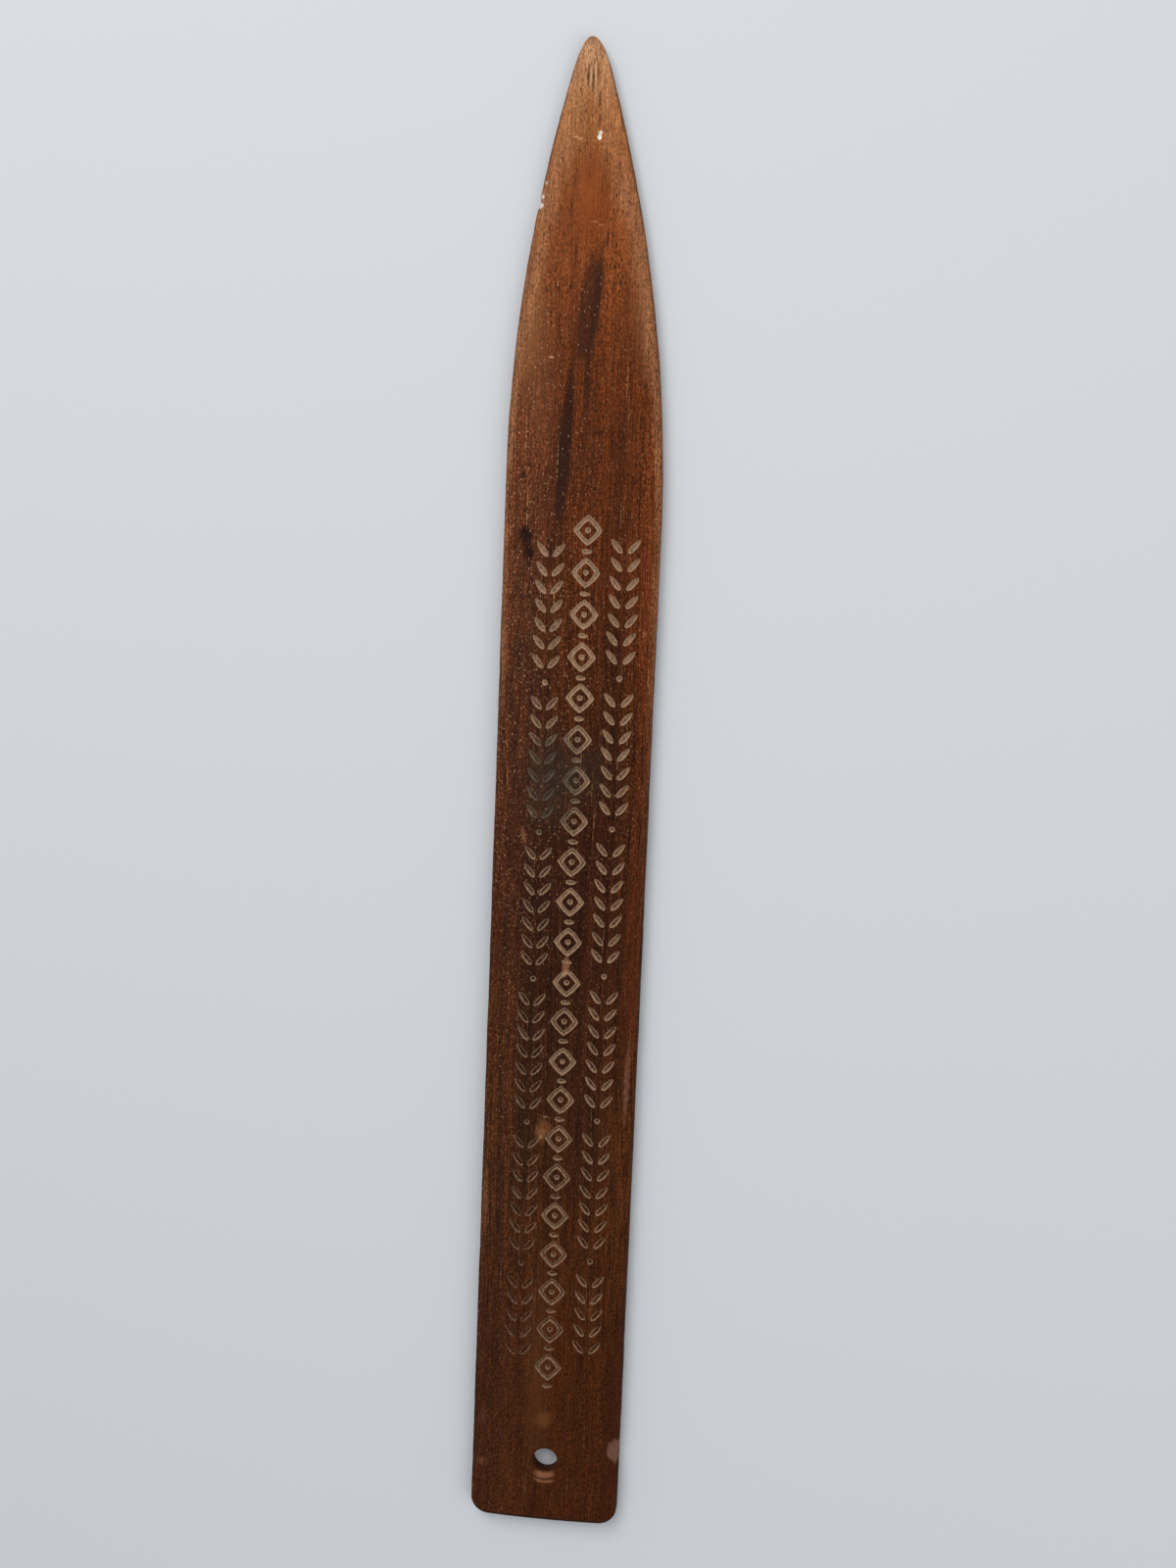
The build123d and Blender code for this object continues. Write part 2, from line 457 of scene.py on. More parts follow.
def makeHardwoodFigure(softSpot, halfLength):
    gives = {"Colour": "Color", "Tone": "Float", "Pores": "Float", "Relief": "Float"}
    tree, given, result = startGroup("hardwoodFigure", {"Place": "Vector", "Ragged": "Float"}, gives)
    shades = {name: paint(*colour) for name, colour in hardwood["colours"].items()}
    place = given["Place"]
    across, along, up = split(tree, place)

    # the grain wanders a little from side to side
    wander = calc(tree, "SUBTRACT", grainNoise(tree, place, *hardwood["noise"]["wander"]), 0.5)
    grain = join(tree, calc(tree, "MULTIPLY_ADD", wander, hardwood["sideWander"], across), along, up)

    def grained(name):
        return grainNoise(tree, grain, *hardwood["noise"][name])

    def pored(name):
        return poreCells(tree, grain, *hardwood["pores"][name])

    def fade(name):
        return ease(tree, along, *hardwood["fades"][name])

    # colour along the length, with painted light towards the tip
    colour = lengthTint(tree, along, wander, halfLength)

    # lighter and darker wood, from broad zones down to single fibres and specks
    zones, bands, fibre, specks = map(grained, ("zones", "bands", "fibre", "specks"))
    calm = fade("calm")
    striped = times(tree, calm, fade("stripes"))
    tone = calc(tree, "MULTIPLY_ADD", ease(tree, bands, 0.3, 0.7, -0.24, 0.24), striped, 1.0)
    tone = times(tree, tone, ease(tree, zones, 0.3, 0.7, 0.88, 1.14))
    # slightly darker, then lighter towards the side edges of the lath: painted light on the rounded
    # edges, and partly worn finish
    aside = calc(tree, "ABSOLUTE", across)
    edgeLightAndWear = times(tree, ease(tree, aside, 8.2, 9.8, -0.08, 0.14), ease(tree, aside, 11, 10.1))
    edgeLightAndWear = times(tree, edgeLightAndWear, fade("edges"), calm)
    tone = times(tree, tone, calc(tree, "ADD", edgeLightAndWear, 1.0))
    handled = ease(tree, across, 5, -8, 0.45, 1)
    flecks = calc(tree, "ADD", pored("fineFlecks"), pored("broadFlecks"))
    flecks = times(tree, flecks, handled, ease(tree, fibre, 0.35, 0.6, 0.5, 1))
    flecks = times(tree, flecks, fade("flecks"))
    pits = times(tree, pored("pits"), fade("pits"))
    coarse = times(tree, fade("tipGrain"), ease(tree, zones, 0.35, 0.65, 0.75, 1.2))
    coarse = times(tree, coarse, fade("buttGrain"))
    drawn = times(tree, fade("tipFibre"), fade("buttFibre"))
    for mask, amount, low, high in ((fibre, drawn, -0.48, 0.56), (specks, coarse, -0.46, 0.62)):
        uneven = times(tree, amount, ease(tree, mask, 0.3, 0.7, low, high))
        tone = times(tree, tone, calc(tree, "ADD", uneven, 1.0))
    pitted = times(tree, pits, coarse)
    tone = times(tree, tone, calc(tree, "MULTIPLY_ADD", pitted, -hardwood["pitShade"], 1.0))
    colour = scaleColour(tree, colour, tone)
    warm = times(tree, calm, ease(tree, zones, 0.52, 0.75, 0, 0.24))
    colour = blendColour(tree, warm, colour, shades["rust"])
    film = ease(tree, across, 0, -8.5, 0, hardwood["leftDust"])
    film = times(tree, film, fade("tipDust"), fade("buttDust"))
    film = times(tree, film, ease(tree, specks, 0.3, 0.7, 0.5, 1.5))
    colour = blendColour(tree, film, colour, shades["dustGrey"])
    lit = times(tree, flecks, coarse, fade("litFlecks"))
    colour = blendColour(tree, lit, colour, shades["poreDust"])

    # stains, streaks and rubbed spots, broken up by the fibres; the pale bands along the blade's edges
    # are partly painted sheen, and the dark tip end is painted shade
    streaky = ease(tree, fibre, 0.25, 0.6, 0.75, 1)
    for name, strength, *spot in hardwood["marks"]:
        mask = softMark(tree, softSpot, place, given["Ragged"], *spot)
        colour = blendColour(tree, times(tree, mask, strength, streaky), colour, shades[name])

    # long dotted pore lines, dark near the tip and dusty below
    lines = times(tree, pored("lines"), ease(tree, grained("dots"), 0.42, 0.56))
    dark = times(tree, pored("dark"), ease(tree, bands, 0.56, 0.42, 0.25, 1))
    dark = calc(tree, "MAXIMUM", dark, times(tree, lines, fade("darkLines")))
    colour = blendColour(tree, times(tree, dark, hardwood["darkShare"]), colour, shades["poreDark"])

    # dust in short pores, most of it on the handled left
    dusty = times(tree, pored("dusty"), handled, fade("dustyPores"))
    dusty = calc(tree, "MAXIMUM", dusty, times(tree, lines, fade("dustyLines")))
    dusty = times(tree, dusty, fade("cleanTip"))
    colour = blendColour(tree, times(tree, dusty, hardwood["dustyShare"]), colour, shades["poreDust"])

    depth = hardwood["relief"]
    relief = calc(tree, "MULTIPLY_ADD", fibre, depth["fibre"], times(tree, specks, depth["specks"]))
    tree.links.new(colour, result["Colour"])
    tree.links.new(tone, result["Tone"])
    tree.links.new(calc(tree, "MAXIMUM", dark, dusty), result["Pores"])
    tree.links.new(calc(tree, "MULTIPLY_ADD", dark, depth["dark"], relief), result["Relief"])
    return tree


# Rubbed and lit rim: where hands and envelopes have worn the finish off the rounded edges, partly painted
# sheen on the bevels

rubbedAndLitRim = {
    "noise": ((0.8, 0.13, 0.8), 4, 0.65),
    "patchiness": 1.4,
    "band": (1.25, 0.35),  # shares of the rounded edge: finish whole, finish gone
}


def makeRubbedAndLitRim():
    takes = {"Place": "Vector", "Share": "Float"}
    tree, given, result = startGroup("rubbedAndLitRim", takes, {"Mask": "Float"})
    patchy = grainNoise(tree, given["Place"], *rubbedAndLitRim["noise"])
    patchy = calc(tree, "SUBTRACT", patchy, 0.5)
    share = calc(tree, "MULTIPLY_ADD", patchy, rubbedAndLitRim["patchiness"], given["Share"])
    tree.links.new(ease(tree, share, *rubbedAndLitRim["band"]), result["Mask"])
    return tree


# Materials

lowCorner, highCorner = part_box("wooden_blade")
buttY = lowCorner.y / mm
tipY = highCorner.y / mm
hangingHole = next(m for m in frame["record"]["mounts"] if m["name"] == "hanging_hole")
holeMiddle = [c / mm for c in hangingHole["pos_m"]]

oiledWood = {
    # bare wood where the finish is rubbed off, greyed as painted sheen on the bevels
    "bareWoodAndSheen": (162, 112, 76),
    # painted shade along the rounded rim and the butt's edge
    "paintedRimShade": (30, 16, 9),
    "edgeDust": (206, 176, 150),
    "roughness": (0.5, 0.7),
    "roughPatches": ((0.4, 0.08, 0.4), 3, 0.6),
    "specular": 0.06,
    "reliefDepth": 0.06,
    "reliefStrength": 0.7,
    "rubbed": (-20, 85, 0, 0.5),  # along the opener: from, to, amount at each
    "dustCells": ((2.6, 1.4, 2.6), 0.5, 0.3),
    "dustSide": (2, -9, 0.15, 0.75),
    "hookArcs": {
        "colour": (146, 96, 70),
        "arcs": [(2.4, 0.5, 0.8), (3.25, 0.36, 0.65)],  # radius, half width, strength
        "halfSpan": 1.9,
        "fray": 0.8,
        "below": (-1, -2),
    },
    "scuffs": [
        # colour, strength, middle, half size, fray, core, lean if any
        ((122, 84, 70), 0.8, (10.4, -95.2, 2.2), (1.4, 2.3, 1.8), 1, 0.6),
        ((104, 62, 44), 0.7, (-9.6, -98.6, 2.6), (1.5, 1.1, 1.2), 0.9, 0.1),
        ((126, 84, 66), 0.55, (9.75, -38.5, 2.9), (0.6, 8, 1.5), 1.3, 0, 0.01),
        ((112, 72, 52), 0.5, (-10.4, -58, 2.8), (0.8, 9, 1.5), 1.3, 0),
        ((124, 80, 56), 0.45, (-10.3, 24, 2.8), (0.7, 7, 1.5), 1.3, 0),
        ((96, 56, 40), 0.5, (-9.6, -91.5, 2.8), (1.1, 2.2, 1.2), 1.3, 0),
        ((150, 108, 84), 0.8, (-7.4, 86, 1.6), (0.7, 2.2, 2), 0.9, 0.4),
        ((222, 208, 190), 0.9, (0.34, 94.75, 2.2), (0.4, 0.45, 1), 1.4, 0.4, 0.1),
        ((236, 226, 212), 0.95, (0.24, 94.15, 2.2), (0.34, 0.42, 1), 1.4, 0.5, -0.1),
        ((222, 208, 194), 0.85, (-7.5, 84.9, 1.9), (0.5, 0.5, 0.9), 1.9, 0.4),
        ((222, 208, 194), 0.8, (-7.25, 86.1, 1.9), (0.34, 0.5, 0.9), 1.9, 0.4),
        ((208, 184, 164), 0.6, (-6.8, 88, 1.9), (0.28, 0.4, 0.9), 1.9, 0.4),
        ((204, 150, 108), 0.75, (-3, 94.15, 2.2), (0.55, 0.18, 1), 0.3, 0.3),
        ((204, 150, 108), 0.75, (-2.3, 93.9, 2.2), (0.5, 0.18, 1), 0.3, 0.3),
        ((176, 118, 76), 0.6, (0.05, 83, 2.4), (0.7, 0.18, 1), 0.3, 0.2),
        ((176, 118, 76), 0.6, (1.1, 82.55, 2.4), (0.7, 0.18, 1), 0.3, 0.2),
        ((198, 148, 104), 0.8, (-5.2, 64.6, 2.8), (0.5, 0.2, 1), 0.5, 0.3),
    ],
}

stampPaint = {
    "cream": (174, 140, 111),
    "soot": (86, 81, 68),
    "sootShare": 0.9,
    "sootSpot": ((-3, 5, 3), (6.4, 11.5, 3), 0.9, 0.3),  # middle, half size, fray, core
    "bareShade": 0.8,
    "left": (-110, 60, 0.17, 0.54),  # paint along the opener: from, to, amount at each
    "wear": ((3.4, 3, 3.4), 4, 0.85),
    "cover": (0.7, 1.3),
    "roughness": (0.6, 0.85),
}


def placeInMm(tree):
    # the place on the opener, and the way its surface faces
    where = tree.nodes.new("ShaderNodeTexCoord").outputs
    return calcVector(tree, "MULTIPLY", where["Object"], (1 / mm, 1 / mm, 1 / mm)), where["Normal"]


def finishWood(tree, colour, roughness, height):
    # the fixed values of the oiled surface, and its fine relief
    shader = tree.nodes["Principled BSDF"]
    bump = tree.nodes.new("ShaderNodeBump")
    bump.inputs["Strength"].default_value = oiledWood["reliefStrength"]
    bump.inputs["Distance"].default_value = oiledWood["reliefDepth"] * mm
    tree.links.new(height, bump.inputs["Height"])
    tree.links.new(colour, shader.inputs["Base Color"])
    tree.links.new(roughness, shader.inputs["Roughness"])
    tree.links.new(bump.outputs["Normal"], shader.inputs["Normal"])
    shader.inputs["Specular IOR Level"].default_value = oiledWood["specular"]


def hookWear(tree, place, ragged):
    # pale arcs below the hanging hole, rubbed by its hook
    style = oiledWood["hookArcs"]
    x, y, z = split(tree, calcVector(tree, "SUBTRACT", place, holeMiddle))
    radius = calcVector(tree, "LENGTH", join(tree, x, y, 0.0))
    radius = calc(tree, "MULTIPLY_ADD", ragged, style["fray"], radius)
    wear = 0.0
    for middle, half, strength in style["arcs"]:
        away = calc(tree, "ABSOLUTE", calc(tree, "SUBTRACT", radius, middle))
        wear = calc(tree, "MAXIMUM", wear, ease(tree, away, half, half * 0.2, 0.0, strength))
    below = times(tree, ease(tree, y, *style["below"]), ease(tree, z, -1.0, 0.0))
    aside = ease(tree, calc(tree, "ABSOLUTE", x), style["halfSpan"], style["halfSpan"] * 0.4)
    return times(tree, wear, below, aside)


def makeOiledWood(groups):
    material = bpy.data.materials.new("oiledWood")
    material.use_nodes = True
    tree = material.node_tree
    place = placeInMm(tree)[0]
    across, along = split(tree, place)[:2]
    ragged = useGroup(tree, groups["frayed"], Place=place)["Ragged"]
    wood = useGroup(tree, groups["figure"], Place=place, Ragged=ragged)

    # edges rubbed bare on the blade, which is partly painted sheen, with painted shade and dust along the
    # rim
    rim = tree.nodes.new("ShaderNodeAttribute")
    rim.attribute_name = "rimShare"
    rimShare = rim.outputs["Fac"]
    rubbed = useGroup(tree, groups["rim"], Place=place, Share=rimShare)["Mask"]
    cleared = calc(tree, "MULTIPLY_ADD", wood["Pores"], -0.5, 1.0)
    rubbed = times(tree, rubbed, ease(tree, along, *oiledWood["rubbed"]), cleared)
    shaded = times(tree, ease(tree, across, 0.5, 3.0), ease(tree, along, 86.0, 94.0))
    rubbed = times(tree, rubbed, calc(tree, "MULTIPLY_ADD", shaded, -0.6, 1.0))
    # rubbed edges: partly bare wood, partly painted sheen on the bevels
    bareWoodAndSheen = scaleColour(tree, paint(*oiledWood["bareWoodAndSheen"]), wood["Tone"])
    colour = blendColour(tree, rubbed, wood["Colour"], bareWoodAndSheen)
    atTip = ease(tree, along, 80.0, 98.0)
    atButt = ease(tree, along, buttY + 1.6, buttY + 0.9)
    # painted shade: a dark line along the rounded rim, heavier towards the tip, and a dark band along the
    # butt's rim where its edge turns away from the light
    paintedRimShade = ease(tree, rimShare, 0.14, 0.0, 0.0, calc(tree, "MULTIPLY_ADD", atTip, 0.4, 0.35))
    paintedRimShade = calc(tree, "MAXIMUM", paintedRimShade, times(tree, atButt, ease(tree, rimShare, 0.9, 0.4, 0.0, 0.85)))
    colour = blendColour(tree, paintedRimShade, colour, paint(*oiledWood["paintedRimShade"]))
    dust = poreCells(tree, place, *oiledWood["dustCells"])
    atRim = ease(tree, rimShare, 0.75, 0.3)
    dust = times(tree, dust, atRim, ease(tree, across, *oiledWood["dustSide"]))
    dust = times(tree, dust, ease(tree, ragged, -0.08, 0.1))
    colour = blendColour(tree, dust, colour, paint(*oiledWood["edgeDust"]))

    hooked = hookWear(tree, place, ragged)
    colour = blendColour(tree, hooked, colour, paint(*oiledWood["hookArcs"]["colour"]))
    worn = calc(tree, "MAXIMUM", rubbed, hooked)
    shading = calc(tree, "MULTIPLY_ADD", wood["Tone"], 0.5, 0.5)
    for tint, strength, *spot in oiledWood["scuffs"]:
        mask = softMark(tree, groups["spot"], place, ragged, *spot)
        tinted = scaleColour(tree, paint(*tint), shading)
        colour = blendColour(tree, times(tree, mask, strength), colour, tinted)
        worn = calc(tree, "MAXIMUM", worn, mask)

    patch = grainNoise(tree, place, *oiledWood["roughPatches"])
    roughness = ease(tree, patch, 0.3, 0.7, *oiledWood["roughness"])
    roughness = calc(tree, "MULTIPLY_ADD", worn, 0.15, roughness)
    roughness = calc(tree, "MULTIPLY_ADD", wood["Pores"], 0.1, roughness, clamp=True)
    finishWood(tree, colour, roughness, wood["Relief"])
    return material


def makeStampPaint(groups):
    material = bpy.data.materials.new("wornStampPaint")
    material.use_nodes = True
    tree = material.node_tree
    place, normal = placeInMm(tree)
    across, along = split(tree, place)[:2]
    ragged = useGroup(tree, groups["frayed"], Place=place)["Ragged"]
    wood = useGroup(tree, groups["figure"], Place=place, Ragged=ragged)
    facing = split(tree, normal)
    wall = ease(tree, facing["Z"], 0.97, 0.85)

    sooty = softMark(tree, groups["spot"], place, ragged, *stampPaint["sootSpot"])
    sooty = times(tree, sooty, stampPaint["sootShare"])
    pigment = blendColour(tree, sooty, paint(*stampPaint["cream"]), paint(*stampPaint["soot"]))
    bare = scaleColour(tree, wood["Colour"], stampPaint["bareShade"])

    # paint is nearly whole near the blade, and only lies in the corners near the butt
    left = ease(tree, along, *stampPaint["left"])
    dulled = times(tree, ease(tree, across, -1.0, -4.0), ease(tree, along, 35.0, 0.0))
    left = calc(tree, "MULTIPLY_ADD", dulled, -0.12, left)
    left = calc(tree, "MULTIPLY_ADD", wall, 0.3, left)
    worn = grainNoise(tree, place, *stampPaint["wear"])
    share = ease(tree, calc(tree, "ADD", left, worn), *stampPaint["cover"])
    share = times(tree, share, ease(tree, wood["Tone"], 0.5, 1.0, 0.6, 0.96))
    colour = blendColour(tree, share, bare, pigment)
    roughness = ease(tree, share, 0.0, 1.0, *stampPaint["roughness"])
    finishWood(tree, colour, roughness, calc(tree, "ADD", wood["Relief"], worn))
    return material


# Wood body: the lath and its blade, on a grid that follows the outline

woodBody = {
    "length": (highCorner.y - lowCorner.y) / mm,
    "width": 22.2,
    "thickness": (highCorner.z - lowCorner.z) / mm,
    "edgeRadius": 0.9,
    "buttBow": 0.3,
    "cornerRadius": 2.7,
    "flankRadius": 200,
    "noseLength": 4.7,
    "tipOffset": -1.3,
    "tipThickness": 1.3,
    "tipRounding": 1.6,
    "bladeEdge": 0.6,
    "bevelWidth": 4.2,
    "bevelShareLimit": 0.9,
    "rowStep": 0.6,
    "bevelSteps": 7,
    "flatSteps": 34,
    "cornerSteps": 14,
    "noseSteps": 20,
    "edgeWear": 0.09,
    "edgeWearSteps": (7, 1.3),  # long waves, short notches
    "notchShare": 0.4,
    "edgeWearLimit": 0.06,  # share of the half width
    "faceWear": 0.02,
    "faceWearSteps": (6, 11),
    "bowFade": 10,
    "leastBevel": 0.1,
    "sharpAngle": 30,  # degrees
    "nick": {"along": 85.2, "length": 0.55, "depth": 0.3},
    "dents": [
        # middle, half size, depth: knocks on the front edges near the butt
        ((11, -95.2), (1.3, 2), 0.45),
        ((-10.7, -98.7), (1.3, 0.9), 0.3),
    ],
}
halfWidth = woodBody["width"] / 2
halfLength = woodBody["length"] / 2
noseY = tipY - woodBody["noseLength"]
midZ = woodBody["thickness"] / 2


def noseSlope(side):
    # how steeply the flank runs in where it meets the nose, right (1) or left (-1)
    nose, flank = woodBody["noseLength"], woodBody["flankRadius"]
    drop = halfWidth - side * woodBody["tipOffset"]
    return (math.sqrt(4 * nose**2 + 2 * flank * drop) - 2 * nose) / flank


def shoulderY(side):
    return noseY - woodBody["flankRadius"] * noseSlope(side)


bladeY = min(shoulderY(1), shoulderY(-1))
bladeLength = tipY - bladeY


def outlineReach(y, side):
    # distance from the centre line to the outline
    corner = woodBody["cornerRadius"]
    fromButt = np.clip(corner - (y - buttY), 0, corner)
    lath = halfWidth - corner + np.sqrt(corner**2 - fromButt**2)
    flank = halfWidth - np.clip(y - shoulderY(side), 0, None) ** 2 / (2 * woodBody["flankRadius"])
    ahead = np.sqrt(woodBody["noseLength"] * np.clip(tipY - y, 0, None))
    nose = side * woodBody["tipOffset"] + 2 * noseSlope(side) * ahead
    return np.where(y <= shoulderY(side), lath, np.where(y <= noseY, flank, nose))


def bladeShare(y):
    # 0 on the lath, 1 at the tip
    return np.clip((y - bladeY) / bladeLength, 0, 1)


def easedShare(y):
    share = bladeShare(y)
    return share**2 * (3 - 2 * share)


def tipClosing(y):
    # 1 along the opener, and down to 0 round the tip
    intoTip = np.clip(1 - (tipY - y) / woodBody["tipRounding"], 0, 1)
    return np.sqrt(1 - intoTip**2)


def fullThickness(y):
    thick = woodBody["thickness"]
    return tipClosing(y) * (thick - (thick - woodBody["tipThickness"]) * bladeShare(y) ** 2)


def edgeThickness(y):
    lathEdge = woodBody["thickness"] - 2 * woodBody["edgeRadius"]
    return tipClosing(y) * (lathEdge - (lathEdge - woodBody["bladeEdge"]) * easedShare(y))


def bevelAt(y, span):
    # width of the rounding along each edge: narrow on the lath, wide on the blade
    narrow = woodBody["edgeRadius"]
    bevel = narrow + (woodBody["bevelWidth"] - narrow) * easedShare(y)
    return np.minimum(bevel, woodBody["bevelShareLimit"] * span / 2)


def wearNoise(places, step, seed):
    return np.array([noise.fractal(Vector((p / step, seed, 0.5)), 1.0, 2.0, 3) for p in places])


def rowPlaces():
    turn = np.linspace(0, math.pi / 2, woodBody["cornerSteps"])
    butt = buttY + woodBody["cornerRadius"] * (1 - np.cos(turn))
    lath = np.linspace(butt[-1], bladeY, int((bladeY - butt[-1]) / woodBody["rowStep"]))
    blade = np.linspace(bladeY, noseY, int((noseY - bladeY) / woodBody["rowStep"]))
    nose = tipY - woodBody["noseLength"] * np.linspace(1, 0, woodBody["noseSteps"]) ** 2
    return np.concatenate([butt, lath[1:], blade[1:], nose[1:-1]])


def wornReach(y, side):
    wave, notch = woodBody["edgeWearSteps"]
    wear = woodBody["edgeWear"] * (0.5 + 0.5 * wearNoise(y, wave, 3.0 * side))
    notches = np.clip(wearNoise(y, notch, 11.0 * side), 0, None)
    wear += woodBody["notchShare"] * woodBody["edgeWear"] * notches
    if side < 0:
        nick = woodBody["nick"]
        wear += nick["depth"] * np.exp(-(((y - nick["along"]) / nick["length"]) ** 2))
    room = (outlineReach(y, 1) + outlineReach(y, -1)) / 2
    return outlineReach(y, side) - np.minimum(np.clip(wear, 0, None), woodBody["edgeWearLimit"] * room)


def buildWoodGrid():
    y = rowPlaces()
    right = wornReach(y, 1)[:, None]
    left = -wornReach(y, -1)[:, None]
    full = fullThickness(y)[:, None]
    edge = edgeThickness(y)[:, None]
    bevel = bevelAt(y[:, None], right - left)

    turn = 1 - np.cos(np.linspace(0, math.pi / 2, woodBody["bevelSteps"] + 1))
    flat = np.linspace(0, 1, woodBody["flatSteps"] + 1)[1:-1]
    flatX = left + bevel + (right - left - 2 * bevel) * flat
    x = np.hstack([left + bevel * turn, flatX, right - bevel * turn[::-1]])

    # how far each point lies in from the rim, round the butt's corners too
    inward = np.minimum(x - left, right - x)
    fromButt = np.broadcast_to((y - buttY)[:, None], x.shape)
    corner = woodBody["cornerRadius"]
    fromSide = np.maximum(halfWidth - np.abs(x), 0)
    atCorner = (fromSide < corner) & (fromButt < corner)
    rounded = corner - np.hypot(corner - fromSide, corner - fromButt)
    inward = np.where(atCorner, rounded, np.minimum(inward, fromButt))
    crown = np.sqrt(1 - (1 - np.clip(inward / bevel, 0, 1)) ** 2)
    height = edge / 2 + (full - edge) / 2 * crown

    # hand wear on the front, and knocks on its edges
    stepX, stepY = woodBody["faceWearSteps"]
    spots = [[Vector((px / stepX, py / stepY, 7.7)) for px in row] for row, py in zip(x, y)]
    rubbed = np.array([[noise.noise(spot) for spot in row] for row in spots])
    sunk = woodBody["faceWear"] * (0.5 + 0.5 * rubbed) * crown
    for (dentX, dentY), (reachX, reachY), depth in woodBody["dents"]:
        span = ((x - dentX) / reachX) ** 2 + ((y[:, None] - dentY) / reachY) ** 2
        sunk = sunk + depth * np.exp(-span)
    bow = woodBody["buttBow"] * (x / halfWidth) ** 2 * np.clip(1 - fromButt / woodBody["bowFade"], 0, 1)
    yGrid = y[:, None] + bow
    front = np.stack([x, yGrid, np.maximum(midZ + height - sunk, midZ)], axis=-1)
    back = np.stack([x, yGrid, midZ - height], axis=-1)
    return front, back


def woodMesh():
    front, back = buildWoodGrid()
    rows, columns = front.shape[:2]
    tipPoint = [[woodBody["tipOffset"], tipY, midZ]]
    points = np.vstack([front.reshape(-1, 3), back.reshape(-1, 3), tipPoint])
    number = np.arange(rows * columns).reshape(rows, columns)
    below = number + rows * columns
    tip = 2 * rows * columns
    faces = []
    for i in range(rows - 1):
        for j in range(columns - 1):
            faces.append((number[i, j], number[i, j + 1], number[i + 1, j + 1], number[i + 1, j]))
            faces.append((below[i, j], below[i + 1, j], below[i + 1, j + 1], below[i, j + 1]))
        faces.append((number[i, -1], below[i, -1], below[i + 1, -1], number[i + 1, -1]))
        faces.append((number[i, 0], number[i + 1, 0], below[i + 1, 0], below[i, 0]))
    for j in range(columns - 1):
        faces.append((number[0, j], below[0, j], below[0, j + 1], number[0, j + 1]))
        faces.append((number[-1, j], number[-1, j + 1], tip))
        faces.append((below[-1, j + 1], below[-1, j], tip))
    faces.append((number[-1, -1], below[-1, -1], tip))
    faces.append((below[-1, 0], number[-1, 0], tip))
    mesh = bpy.data.meshes.new("woodBody")
    mesh.from_pydata((points * mm).tolist(), [], [tuple(int(n) for n in f) for f in faces])
    mesh.validate()
    return mesh


# Cutting tool: gathers closed solids, each with its material number

bareBed, paintedBed = 0, 1  # places in the opener's list of materials


class CutterMesh:
    def __init__(self):
        self.points = []
        self.faces = []
        self.materials = []

    def addLoops(self, loops, material, caps):
        # each loop is a ring of 3-D points; neighbours are joined, and caps closes the first and last
        start = len(self.points)
        count = len(loops[0])
        for loop in loops:
            self.points.extend(loop)
        pairs = range(len(loops) - 1) if caps else range(len(loops))
        for k in pairs:
            upper = start + k * count
            lower = start + (k + 1) % len(loops) * count
            for i in range(count):
                j = (i + 1) % count
                self.faces.append((upper + i, lower + i, lower + j, upper + j))
                self.materials.append(material)
        if caps:
            last = start + (len(loops) - 1) * count
            self.faces.append(tuple(start + i for i in range(count)))
            self.faces.append(tuple(last + i for i in reversed(range(count))))
            self.materials += [material, material]

    def toMesh(self, name):
        mesh = bpy.data.meshes.new(name)
        mesh.from_pydata([tuple(c * mm for c in p) for p in self.points], [], self.faces)
        mesh.polygons.foreach_set("material_index", self.materials)
        return mesh


def placed(points, middle, heading, z):
    # local (along the heading, across it) to the opener's own x, y
    c, s = math.cos(heading), math.sin(heading)
    return [(middle[0] + a * c - b * s, middle[1] + a * s + b * c, z) for a, b in points]


def roundSteps(steps):
    # cosine and sine of even steps round a circle
    turns = [2 * math.pi * i / steps for i in range(steps)]
    return [(math.cos(t), math.sin(t)) for t in turns]


# Stamped ornament: three rows of plain leaves and lozenges, pressed into the front

stampedRows = {
    "depth": (0.2, 0.3),
    "jitter": 0.07,
    "seed": 41,
    "above": 0.4,
    "leafSteps": 14,
    "leafTaper": 0.18,
    "rows": [
        # kind, start (x, y), end (x, y), height across the row
        ("wheat", (6.3, 40.4), (5.5, -81), 4.1),
        ("lozenge", (0.9, 44), (-0.05, -85), 4.1),
        ("wheat", (-4.25, 39.4), (-4.75, -82.5), 3.9),
    ],
    "wheat": {
        "pitch": 2.6,
        "pairs": 7,
        "pause": 3.4,
        "leafLength": 2.5,
        "leafWidth": 0.88,
        "lean": 40,  # degrees
        "dot": 0.9,
    },
    "lozenge": {
        "pitch": 5.9,
        "length": 4.3,
        "stroke": 0.64,
        "dot": 0.86,
        "sharpness": 1.2,
        "bar": (1.5, 0.75),
        "steps": 40,
        "growth": 1.3,
    },
}


def leafOutline(length, width):
    taper = stampedRows["leafTaper"]
    ring = roundSteps(stampedRows["leafSteps"])
    return [(length / 2 * c, width / 2 * s * (1 - taper * c)) for c, s in ring]


def pressLeaf(cutter, middle, heading, length, width, depth):
    top = woodBody["thickness"]
    above = stampedRows["above"]
    rim = leafOutline(length + 2 * above, width + 2 * above)
    bed = leafOutline(length - 2 * depth, width - 2 * depth)
    loops = [placed(rim, middle, heading, top + above), placed(bed, middle, heading, top - depth)]
    cutter.addLoops(loops, paintedBed, caps=True)


